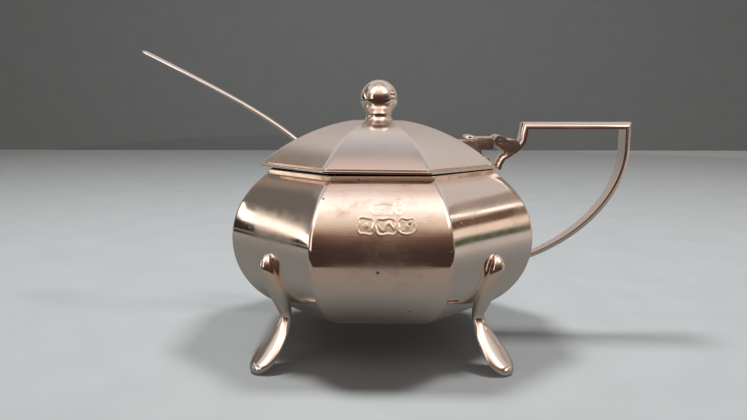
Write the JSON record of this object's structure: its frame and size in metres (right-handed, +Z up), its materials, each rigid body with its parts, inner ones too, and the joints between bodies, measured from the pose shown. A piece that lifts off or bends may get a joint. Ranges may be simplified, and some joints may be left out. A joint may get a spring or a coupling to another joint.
{
  "type": "lidded condiment pot",
  "caption": "Faceted silver condiment pot with a hinged domed lid, angular strap handle, curved legs, glass liner and a spoon standing in a notch.",
  "frame": {"origin": "middle of the whole object's footprint, on the surface that its feet stand on", "axes": "+Z up; +X from the spoon's side towards the handle; -Y is the plain front panel"},
  "size_m": [0.1127, 0.0602, 0.0637],
  "materials": {
    "polished_silver": "polished silver with fine rubbing marks",
    "plain_silver": "plain silver, duller inside and underneath",
    "cast_silver": "cast silver, polished by hand",
    "rubbed_silver": "strap silver, rubbed by handling",
    "hinge_silver": "silver with tarnish in the joints",
    "lid_silver": "lid silver, softly polished with small pits",
    "finial_silver": "bright silver",
    "stud_metal": "plain drawn rod",
    "cobalt_glass": "deep blue pressed glass",
    "spoon_silver": "bright silver"
  },
  "bodies": {
    "pot": {"body_shell": "polished_silver", "base_plate": "plain_silver", "neck_collar": "polished_silver", "leg_front_left": "cast_silver", "leg_front_right": "cast_silver", "leg_back_right": "cast_silver", "leg_back_left": "cast_silver", "handle_strap": "rubbed_silver", "hinge_bracket": "hinge_silver", "hinge_pin": "hinge_silver", "glass_liner": "cobalt_glass"},
    "lid": {"lid_flange": "lid_silver", "lid_dome": "lid_silver", "lid_hinge_arm": "hinge_silver", "thumbpiece": "hinge_silver", "finial_ball": "finial_silver", "finial_collar": "finial_silver", "finial_washer": "plain_silver", "finial_nut": "plain_silver", "finial_stud": "stud_metal"},
    "spoon": {"spoon": "spoon_silver"}
  },
  "joints": [
    {"name": "lid_hinge", "type": "hinge", "parent": "pot", "child": "lid", "pos_m": [0.0286, 0, 0.04265], "axis": [0, 1, 0], "range_deg": [0, 100]},
    {"name": "spoon_lift", "type": "slide", "parent": "pot", "child": "spoon", "axis": [-0.7003, 0.1876, 0.6888], "range_m": [0, 0.012]}
  ]
}
